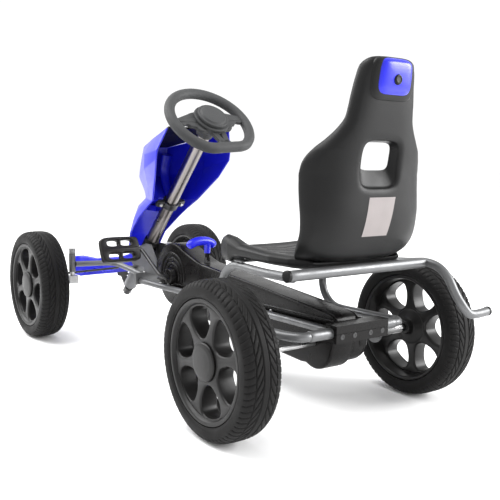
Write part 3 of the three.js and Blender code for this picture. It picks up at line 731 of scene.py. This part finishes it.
def add_steering_wheel():
    clocked = COLUMN @ at(0, 0, WHEEL_HUB_S) @ turn(math.radians(6), "Z")
    parts = [sweep("rim", rim_path(), GRIP_RADIUS, 28, closed=True)]
    parts[0].transform(clocked)
    for side in (1, -1):
        parts.append(plate("spoke", side_spoke(side), [], 10, 2.6, clocked, curved=[0]))
        ridge = sided([(30, -12), (64, -7), (92, -3), (92, 2), (64, 3), (30, 8)], side)
        parts.append(plate("ridge", ridge, [], 14, 3, clocked))
        vee = sided([(8, 28), (24, 28), (10, 90), (-6, 90)], side)
        parts.append(plate("vee", vee, [], 9, 2, clocked))
        lobe = sided([(28, 18), (47, 14), (52, 24), (44, 33), (34, 35), (22, 32)], side)
        parts.append(plate("lobe", lobe, [], 9, 2.4, clocked, curved=[0]))
    parts.append(plate("bridge", [(-13, 66), (13, 66), (22, 82), (20, 92), (-20, 92), (-22, 82)],
                       [], 9, 2.4, clocked))
    parts.append(lathe("hub", rounded([(-26, 10), (-26, 17), (-17, 30), (-7, 43), (4, 46),
                                       (10, 46), (12.4, 44), (12.4, 10)], 2.4), 72,
                       clocked @ LATHE_TO_COLUMN))
    parts.append(lathe("boss", rounded([(-40, 9), (-40, 21), (-30, 23), (-16, 29)], 1), 48,
                       clocked @ LATHE_TO_COLUMN))
    finish_piece("steering_wheel_look", joined("wheel", parts), "steering", "foam",
                 ["steering_wheel"], sharp=50)
    cover = lathe("cover", rounded([(12.4, 0), (12.4, 40), (19, 40), (21, 38.6), (21.2, 36.2),
                                    (20, 35.2), (21, 33.4), (24.4, 30), (25.4, 0)], 1.1, 4), 72,
                  clocked @ LATHE_TO_COLUMN)
    finish_piece("hub_cover_look", cover, "steering", "foam", ["steering_hub_cover"])


# ---- fairing and bumper ----
FAIRING_ROWS = [
    [(88, -50, 585), (66, -160, 562), (35, -273, 540)],
    [(106, -70, 531), (86, -172, 520), (36, -287, 500)],
    [(106, -74, 509), (89, -168, 486), (37, -296, 460)],
    [(93, -104, 465), (72, -180, 440), (39, -262, 425)],
    [(66, -166, 402), (55, -205, 401), (40, -243, 402)],
    [(63, -215, 374), (54, -262, 377), (40, -298, 377)],
    [(61, -255, 350), (53, -298, 345), (39, -322, 340)],
    [(53, -321, 301), (46, -338, 300), (38, -349, 301)],
    [(46, -345, 258), (41, -354, 258), (36, -362, 258)],
]
FAIRING_WALL = 4


def add_fairing():
    vertices = []
    for left in FAIRING_ROWS:
        vertices += left + sided(left[::-1], -1)
    data = bpy.data.meshes.new("fairing")
    data.from_pydata([tuple(c * MM for c in v) for v in vertices], [],
                     [face[::-1] for face in grid_faces(len(FAIRING_ROWS), 6, False, False)])
    piece = finish_piece("fairing_look", data, "frame", "blue", ["fairing"], sharp=180)
    thicken(piece, FAIRING_WALL)
    soften(piece, 2.6, 9)
    boss = plate("boss", [(-14, -33), (14, -33), (14, 33), (-14, 33)], [], 16, 2,
                 at(0, -280, 374))
    finish_piece("fairing_boss", boss, "frame", "blue")
    inner = []
    for side in (1, -1):
        rib = sided([(20, -236, 398), (24, -262, 440), (26, -276, 480), (28, -262, 520)], side)
        inner.append(sweep("fold", smooth_path(rib, 24), np.linspace(5, 9, 24), 12, squeeze=1.8))
    finish_piece("fairing_folds", joined("folds", inner), "frame", "blue")
    dress("fairing_top_panel", "grain", 1.4)


BUMPER_WALL = 6


def bumper_data():
    half = smooth_path([(0, -580), (60, -579), (110, -572), (140, -551.5), (153, -519)], 48)
    path = np.vstack([half[::-1] * (-1, 1), half[1:]])
    x = np.abs(path[:, 0])
    top = np.interp(x, [0, 40, 88, 118, 150, 154], [199, 199, 211.5, 212.5, 203, 190])
    low = np.interp(x, [0, 100, 124, 154], [147.5, 147.5, 157, 172])
    tangent = np.gradient(path, axis=0)
    tangent /= np.linalg.norm(tangent, axis=1)[:, None]
    inward = np.stack([-tangent[:, 1], tangent[:, 0]], axis=1)
    section = rounded([(0.02, 0.5), (0, 0.1), (0.2, 0), (0.9, 0.03), (1, 0.12), (1, 0.88),
                       (0.9, 0.97), (0.2, 1), (0, 0.9), (0.02, 0.5)], 0.08)
    vertices = []
    for (px, py), (nx, ny), z0, z1 in zip(path, inward, low, top):
        for depth, height in section[:-1]:
            inset = depth * BUMPER_WALL
            vertices.append((px + nx * inset, py + ny * inset, z0 + (z1 - z0) * height))
    rows, columns = len(path), len(section) - 1
    faces = grid_faces(rows, columns, False, True) + end_faces(rows, columns)
    return mesh_data("bumper", vertices, faces)


def add_bumper():
    parts = [bumper_data()]
    for side in (1, -1):
        parts.append(plate("leaf", [(-14, -40), (14, -40), (14, 41), (-14, 41)], [], 3, 0.8,
                           at(side * 40, -534.5, 168)))
    finish_piece("bumper_look", joined("bumper", parts), "frame", "blue", ["bumper"], sharp=50)


# ---- seat ----
BACK_OUTLINE = [(0, 322), (60, 322.5), (104, 325), (126, 332), (138, 345), (142, 362), (142.5, 384),
                (143.5, 403), (145, 425), (145.4, 455), (145, 480), (144, 500), (140.5, 516),
                (129, 535), (110, 554), (93, 573), (81, 592), (76.5, 611), (73.5, 630), (69.5, 650),
                (66, 668), (61, 686), (50, 695), (34, 698.4), (18, 698.8), (0, 698.8)]
BACK_REAR = [(318, 523), (330, 538), (345, 552), (360, 562), (380, 570), (413, 576), (467, 578),
             (510, 580), (560, 588.5), (620, 598), (659, 604), (700, 609)]
SIDE_SWEEP = [(318, 30), (384, 31), (422, 35), (460, 41), (490, 44), (516, 40), (535, 32), (554, 22),
              (573, 15), (592, 11), (620, 11), (650, 13), (670, 15), (700, 18)]
BACK_HALF_THICKNESS = 13
BACK_ROLL = 17
HOLE_REAR = (46.5, 509, 43)
HOLE_FRONT = (38, 524, 25.5)
PAN_TOP, PAN_MIDDLE, QUILT_HALF = 329, 327, 98
KNOB_Z = 659
LABEL_Z, LABEL_HEIGHT, LABEL_ROWS, LABEL_COLUMNS = 377, 72.5, 12, 10


def eased(value):
    t = np.clip(value, 0, 1)
    return t * t * (3 - 2 * t)


def by_height(table, z):
    heights, values = np.array(table, float).T
    return np.interp(z, heights, values)


def back_rear_y(x, z):
    """The rear face of the backrest: it leans back, and its sides and its foot sweep forward."""
    half_width = np.interp(z, [p[1] for p in BACK_OUTLINE], [max(p[0], 70) for p in BACK_OUTLINE])
    share = np.clip(np.abs(x) / half_width, 0, 1)
    smooth_z = [by_height(BACK_REAR, z + step) for step in (-12, -6, 0, 6, 12)]
    return sum(smooth_z) / len(smooth_z) - by_height(SIDE_SWEEP, z) * share ** 4.2


def ring_hole(size, angles):
    half_width, middle, half_height = size
    c, s = np.cos(angles), np.sin(angles)
    reach = (np.abs(c) ** 4.4 + np.abs(s) ** 4.4) ** (-1 / 4.4)
    return np.stack([half_width * reach * c, middle + half_height * reach * s], axis=1)


def seat_back_data():
    count, across, wall_steps = 260, 44, 6
    half = np.array(BACK_OUTLINE, float)
    loop = np.vstack([half, half[-2:0:-1] * (-1, 1)])
    outer = smooth_path(loop, 900, closed=True)
    middle_z = HOLE_REAR[1]
    bearing = np.arctan2(outer[:, 1] - middle_z, outer[:, 0]) % (2 * math.pi)
    order = np.argsort(bearing)
    angles = np.linspace(0, 2 * math.pi, count, endpoint=False)
    far = np.stack([np.interp(angles, bearing[order], outer[order, k], period=2 * math.pi)
                    for k in (0, 1)], axis=1)
    near_rear, near_front = ring_hole(HOLE_REAR, angles), ring_hole(HOLE_FRONT, angles)
    steps = 0.5 - 0.5 * np.cos(np.linspace(0, math.pi, across))
    vertices = []

    def face_points(a, b, direction):
        """Points from the hole's edge at a to the outer edge at b, on one face of the shell."""
        points = a + (b - a) * steps[:, None]
        width = np.linalg.norm(b - a)
        rolled = np.sqrt(1 - (1 - np.clip((1 - steps) * width / BACK_ROLL, 0, 1)) ** 2)
        lip = 0.55 + 0.45 * np.sqrt(1 - (1 - np.clip(steps * width / 14, 0, 1)) ** 2)
        t = BACK_HALF_THICKNESS * np.minimum(rolled, lip) * direction
        y = back_rear_y(points[:, 0], points[:, 1]) - BACK_HALF_THICKNESS + t
        return np.stack([points[:, 0], y, points[:, 1]], axis=1)

    for a_rear, a_front, b in zip(near_rear, near_front, far):
        rear, front = face_points(a_rear, b, 1), face_points(a_front, b, -1)
        share = np.linspace(0, 1, wall_steps + 2)[1:-1, None]
        wall = front[0] + (rear[0] - front[0]) * share
        vertices.append(np.vstack([rear, front[-2::-1], wall]))
    columns = len(vertices[0])
    return mesh_data("back", np.concatenate(vertices), grid_faces(count, columns, True, True))


def pan_data():
    rows = np.concatenate([[236, 236.4, 238, 241], np.linspace(245, 520, 96), [524, 527, 528]])
    vertices = []
    across = np.sin(np.linspace(-math.pi / 2, math.pi / 2, 110))
    for y in rows:
        w = np.interp(y, [236, 244, 262, 300, 440, 490, 528], [104, 120, 138, 148, 148, 140, 112])
        horn = np.interp(y, [236, 250, 272, 300, 335, 420, 480, 528],
                         [338, 352, 360, 357, 346, 341, 340, 338])
        close = min(1, math.sqrt(max(0.0, (y - 236) / 12)) + 0.02, math.sqrt((528.3 - y) / 8))
        x = w * across
        away = np.abs(x)
        dish = PAN_TOP - 3.5 * (1 - (x / w) ** 2) + 5 * eased((262 - y) / 26)
        bolster = (horn - PAN_TOP) * np.exp(-(np.maximum(0, 124 - away) / 15) ** 2)
        top = dish + bolster
        ribs = groove(np.array((y + 0.3 * away) / 27), 0.22)
        quilted = (away < QUILT_HALF) * eased((y - 262) / 10) * eased((480 - y) / 10)
        seam = np.exp(-((away - QUILT_HALF) / 2.2) ** 2) * eased((y - 250) / 10)
        top = top - 2.2 * ribs * quilted - 2.4 * seam
        edge = np.sqrt(np.maximum(0, 1 - (np.clip((away - (w - 16)) / 16, 0, 1)) ** 2))
        base = PAN_MIDDLE + 0.35 * (horn - PAN_TOP) * np.clip((away - 60) / 80, 0, 1)
        upper = base + (top - base) * edge * close
        lower = PAN_MIDDLE - 13.6 * edge * close + 3 * np.clip((away - 90) / 50, 0, 1) * edge
        skirt = 13 * eased((away - 92) / 26) * eased((y - 238) / 18) * eased((324 - y) / 32)
        lower = np.where(edge < 1e-6, base, np.minimum(lower - skirt * edge, upper))
        ring = np.stack([np.concatenate([x, x[-2:0:-1]]), np.full(2 * len(x) - 2, y),
                         np.concatenate([upper, lower[-2:0:-1]])], axis=1)
        vertices.append(ring)
    count, columns = len(rows), len(vertices[0])
    faces = grid_faces(count, columns, False, True) + end_faces(count, columns)
    return mesh_data("pan", np.concatenate(vertices), faces)


def headrest_data(middle, half_height, half_width, raised, crown):
    """A soft-cornered pad that follows the rear face of the backrest."""
    rings, count = 26, 160
    angles = np.linspace(0, 2 * math.pi, count, endpoint=False)
    c, s = np.cos(angles), np.sin(angles)
    shape = (np.abs(c) ** 5 + np.abs(s) ** 5) ** (-1 / 5)
    vertices = []
    for share in np.sin(np.linspace(0, math.pi / 2, rings)):
        z = middle + half_height * share * shape * s
        x = share * shape * c * (half_width - 4 * np.clip((z - 650) / 50, 0, 1) ** 2)
        rise = raised * (max(0.0, 1 - share ** 9)) ** 0.5 - crown * share ** 2
        y = back_rear_y(x, z) - 2 + rise - 5 * np.clip((z - 684) / 14, 0, 1) ** 2
        vertices.append(np.stack([x, y, z], axis=1))
    return mesh_data("headrest", np.concatenate(vertices), grid_faces(rings, count, False, True))


def add_seat():
    shell = joined("shell", [seat_back_data(), pan_data()])
    finish_piece("seat_shell_look", shell, "frame", "grain", ["seat_shell"], sharp=60)
    panel = headrest_data(663.5, 33.2, 43, 12, 1.5)
    finish_piece("headrest_panel_look", panel, "frame", "blue", ["headrest_panel"])
    finish_piece("headrest_lip", headrest_data(660, 38.4, 54, 7.5, 0.8), "frame", "grain")
    knob_y = by_height(BACK_REAR, KNOB_Z) + 5
    knob = lathe("knob", rounded([(0, 9.6), (5, 9.6), (7.6, 8), (8.2, 6), (7.2, 5), (7.2, 0)], 1),
                 40, at(0, knob_y, KNOB_Z) @ turn(math.pi / 2, "Z"))
    finish_piece("headrest_knob", knob, "frame", "grain")
    patch = []
    for share in np.linspace(0, 1, LABEL_ROWS):
        z = LABEL_Z + LABEL_HEIGHT * share
        for x in np.linspace(-32 - 12 * share, 32.4 - 9 * share, LABEL_COLUMNS):
            patch.append((x, back_rear_y(x, z) + 0.5, z))
    label = mesh_data("label", patch, grid_faces(LABEL_ROWS, LABEL_COLUMNS, False, False))
    finish_piece("blank_label", label, "frame", "label")
    dress("seat_strap", "tube", 0.6)


# ---- chain case ----
def arc(radius, start, end, count, middle=(CRANK_Y, CRANK_Z)):
    return [(middle[0] + radius * math.cos(math.radians(a)),
             middle[1] + radius * math.sin(math.radians(a))) for a in np.linspace(start, end, count)]


SEAM_LOW, SEAM_HIGH = (-214, 184.4), (505, 203.2)
SEAM_DROP = 12
CASE_WALL = 3
UPPER_WIDTH, LOWER_WIDTH = 62, 60


def hollow_half(data, gap, upper):
    """Cuts a solid half of the case along the seam and turns what is left into an open shell."""
    shape = bmesh.new()
    shape.from_mesh(data)
    along_y, along_z = SEAM_HIGH[0] - SEAM_LOW[0], SEAM_HIGH[1] - SEAM_LOW[1]
    upwards = Vector((0, -along_z, along_y)).normalized()
    everything = [*shape.verts, *shape.edges, *shape.faces]
    bmesh.ops.bisect_plane(shape, geom=everything, plane_no=upwards, dist=1e-7,
                           plane_co=(0, SEAM_LOW[0] * MM, (SEAM_LOW[1] - gap) * MM),
                           clear_inner=upper, clear_outer=not upper)
    bmesh.ops.recalc_face_normals(shape, faces=shape.faces)
    shape.to_mesh(data)
    shape.free()
    holder = bpy.data.objects.new("half", data)
    bpy.context.collection.objects.link(holder)
    thicken(holder, CASE_WALL)
    graph = bpy.context.evaluated_depsgraph_get()
    walled = bpy.data.meshes.new_from_object(holder.evaluated_get(graph))
    bpy.data.objects.remove(holder)
    return walled


def add_chain_case():
    top_edge = [*arc(86, 178, 62, 14), (1.5, 256), (184, 243), (470, 219.5), (494, 215.5),
                (503, 209)]
    outline = rounded([(SEAM_LOW[0], SEAM_LOW[1] - SEAM_DROP), *top_edge,
                       (SEAM_HIGH[0], SEAM_HIGH[1] - SEAM_DROP)], 8)
    parts = [hollow_half(plate("wall", outline, [], UPPER_WIDTH, 6, PLATE_TO_SIDE), 0, True)]
    for side in (1, -1):
        band = [(side * 27.5, y, z - 3.6) for y, z in top_edge]
        parts.append(sweep("band", smooth_path(band, 120), 3.4, 12))
        foot = [(side * 30.5, -208, 188), (side * 30.5, 140, 195), (side * 30.5, 502, 206)]
        parts.append(sweep("foot", smooth_path(foot, 40), 3.2, 10))
        for radius in (34, 47, 60):
            ridge = [(side * 30.4, y, z) for y, z in arc(radius, -14, 192, 30) if z > 192]
            parts.append(sweep("arch", smooth_path(ridge, 60), 3.2, 12))
        boss = lathe("boss", rounded([(20, 8.2), (20, 25), (34, 24), (41, 21), (46, 19), (46, 8.2)],
                                     2), 56, at(0, CRANK_Y, CRANK_Z))
        parts.append(boss if side > 0 else mirrored(boss))
    finish_piece("chain_case_upper_look", joined("upper", parts), "frame", "gloss",
                 ["chain_case_upper"], sharp=50)
    axle = (REAR_AXLE_Y, WHEEL_RADIUS)
    low = [(-206, 197), *arc(80, 200, 262, 7), (402, 101), *arc(54, 240, 350, 10, axle),
           (502, 172), (504, 215)]
    sump = plate("sump", rounded(low, 9), [], LOWER_WIDTH, 6, PLATE_TO_SIDE)
    lower = [hollow_half(sump, 0.8, False)]
    lobe = plate("lobe", rounded([(360, 120), *arc(47, 225, 340, 10, axle), (484, 176), (380, 176)],
                                 6), [], 48, 5, at(-46, 0, 0) @ PLATE_TO_SIDE)
    lower.append(lobe)
    finish_piece("chain_case_lower_look", joined("lower", lower), "frame", "gloss",
                 ["chain_case_lower"], sharp=50)
    cover = lathe("cover", rounded([(-80, 9), (-80, 38), (-76, 43), (-72, 45), (-53, 45), (-52, 27),
                                    (-34, 27), (-34, 9)], 2), 64, at(0, *axle))
    finish_piece("axle_gear_cover_look", cover, "frame", "gloss", ["axle_gear_cover"])
    bolts = []
    for side in (1, -1):
        for y, z in ((-190, 176), (-150, 177), (-60, 180), (60, 183), (180, 186), (300, 189)):
            bolts.append(lathe("bolt", rounded([(27, 0), (27, 5), (33.5, 5), (33.5, 0)], 1), 12,
                               at(0, y, z)))
            if side < 0:
                bolts[-1] = mirrored(bolts[-1])
    finish_piece("case_bolts", joined("bolts", bolts), "frame", "steel")


# ---- drive, pedals and lever ----
def tooth_outline(teeth, pitch):
    radius = pitch / (2 * math.sin(math.pi / teeth))
    points = []
    for k in range(teeth):
        for share, step in ((-0.3, -3.4), (-0.12, 2), (0, 3), (0.12, 2), (0.3, -3.4)):
            angle = (k + share) * 2 * math.pi / teeth
            points.append(((radius + step) * math.cos(angle), (radius + step) * math.sin(angle)))
    return points


def add_crank():
    reach_y, reach_z = -CRANK_ARM * math.cos(CRANK_ANGLE), CRANK_ARM * math.sin(CRANK_ANGLE)
    left = [(178, CRANK_Y + reach_y, CRANK_Z + reach_z), (CRANK_X, CRANK_Y + reach_y,
            CRANK_Z + reach_z), (CRANK_X, CRANK_Y, CRANK_Z)]
    right = [(-x, 2 * CRANK_Y - y, 2 * CRANK_Z - z) for x, y, z in left[::-1]]
    bent = rounded([*left, *right], 15, 8)
    rod = sweep("crank", smooth_path(bent, 240), CRANK_ROD, 20)
    ring = plate("ring", tooth_outline(RING_TEETH, CHAIN_PITCH), [], 4, 0.6, at(0, CRANK_Y, CRANK_Z)
                 @ PLATE_TO_SIDE)
    washer = lathe("washer", rounded([(71.9, 0), (71.9, 7.6), (73.5, 7.6), (73.5, 0)], 0.4), 24)
    washers = []
    for data, end in ((washer, left[0]), (mirrored(washer), right[-1])):
        data.transform(at(0, end[1], end[2]))
        washers.append(data)
    finish_piece("crankset_look", joined("crankset", [rod, ring, *washers]), "crank", "enamel",
                 ["crankset"])

    def pedal(side, word):
        spindle = at(side * PEDAL_X, CRANK_Y + side * reach_y, CRANK_Z + side * reach_z)
        place = spindle @ turn(PEDAL_TILT, "X")
        outline = [(-54, -23), (-50, -31), (-38, -33), (43, -33), (52, -29), (54, -18), (54, 18),
                   (52, 29), (43, 33), (-38, 33), (-50, 31), (-54, 23)]
        slots = []
        for y in (-18, 18):
            for x in (-19, 19):
                slots.append([(x - 16, y - 6), (x + 16, y - 6), (x + 16, y + 6), (x - 16, y + 6)])
        body = plate("pedal", sided(outline, side), [sided(slot, side) for slot in slots], 20,
                     3.4, place, curved=range(1 + len(slots)))
        core = lathe("core", rounded([(-52, 5.8), (-52, 10.8), (52, 10.8), (52, 5.8)], 2), 32, place)
        studs = []
        for x in (-46, 0, 46):
            for y in (-27, 27):
                studs.append(lathe("stud", rounded([(-11, 0), (-11, 1.6), (-9.6, 2.6), (9.6, 2.6),
                                                    (11, 1.6), (11, 0)], 0.6), 16,
                                   place @ at(side * x, y, 0) @ LATHE_TO_COLUMN))
        finish_piece(f"pedal_{word}_look", joined("pedal", [body, core, *studs]), f"pedal_{word}",
                     "pedal", [f"pedal_{word}"], sharp=45)
    both(pedal)


LEVER_X, LEVER_Y = 8, 4


def add_hand_lever():
    arch = [(x, LEVER_Y, z) for x, z in ((63, 297), (54, 305), (40, 310), (24, 311.5), (8, 309.5),
                                         (-3, 305), (-14, 297.5))]
    share = np.linspace(0, 1, 70)
    radii = 10.8 * np.sqrt(np.clip(1 - (2 * share - 1) ** 12, 0.02, 1))
    bar = sweep("bar", smooth_path(arch, 70), radii, 28)
    neck = sweep("neck", np.linspace((LEVER_X, LEVER_Y, 280.6), (LEVER_X, LEVER_Y, 309), 18),
                 7.6 + 3.2 * np.linspace(0, 1, 18) ** 2, 28)
    finish_piece("lever_grip_look", joined("grip", [bar, neck]), "hand_lever", "blue",
                 ["lever_grip"])
    dress("lever_stem", "gloss", 1)
    dress("lever_bracket", "enamel", 0.5)


# ---- nodes that keep their shape ----
def dress_the_rest():
    for node, material, width in (("neck_plate", "tube", 1.5), ("head_bracket", "tube", 1),
                                  ("tube_clamp_upper", "gloss", 2), ("tube_clamp_lower", "gloss", 2),
                                  ("steering_shaft", "steel", 0), ("pitman_arm", "enamel", 0.8),
                                  ("axle_sprocket", "steel", 0), ("drive_chain", "steel", 0),
                                  ("rear_axle", "steel", 0)):
        dress(node, material, width)
    for word in ("left", "right"):
        dress(f"axle_hanger_{word}", "tube", 0.8)
        dress(f"axle_bearing_{word}", "enamel", 0.5)
        dress(f"knuckle_{word}", "steel", 1)
        dress(f"tie_rod_{word}", "enamel", 0.5)


def add_clamp_screws():
    screws = []
    for x in (-62, -30, 12, 44):
        screws.append(lathe("screw", rounded([(0, 0), (0, 2), (0.6, 2.2), (0.6, 5.2), (0, 5.4),
                                              (-3, 5.4)], 0.4), 24,
                            at(x, 539.6, 184) @ turn(math.pi / 2, "Z")))
    finish_piece("clamp_screws", joined("screws", screws), "frame", "enamel")


add_camera()
add_stage()
add_wheels()
add_tubes()
add_column()
add_steering_wheel()
add_fairing()
add_bumper()
add_seat()
add_chain_case()
add_crank()
add_hand_lever()
dress_the_rest()
add_clamp_screws()
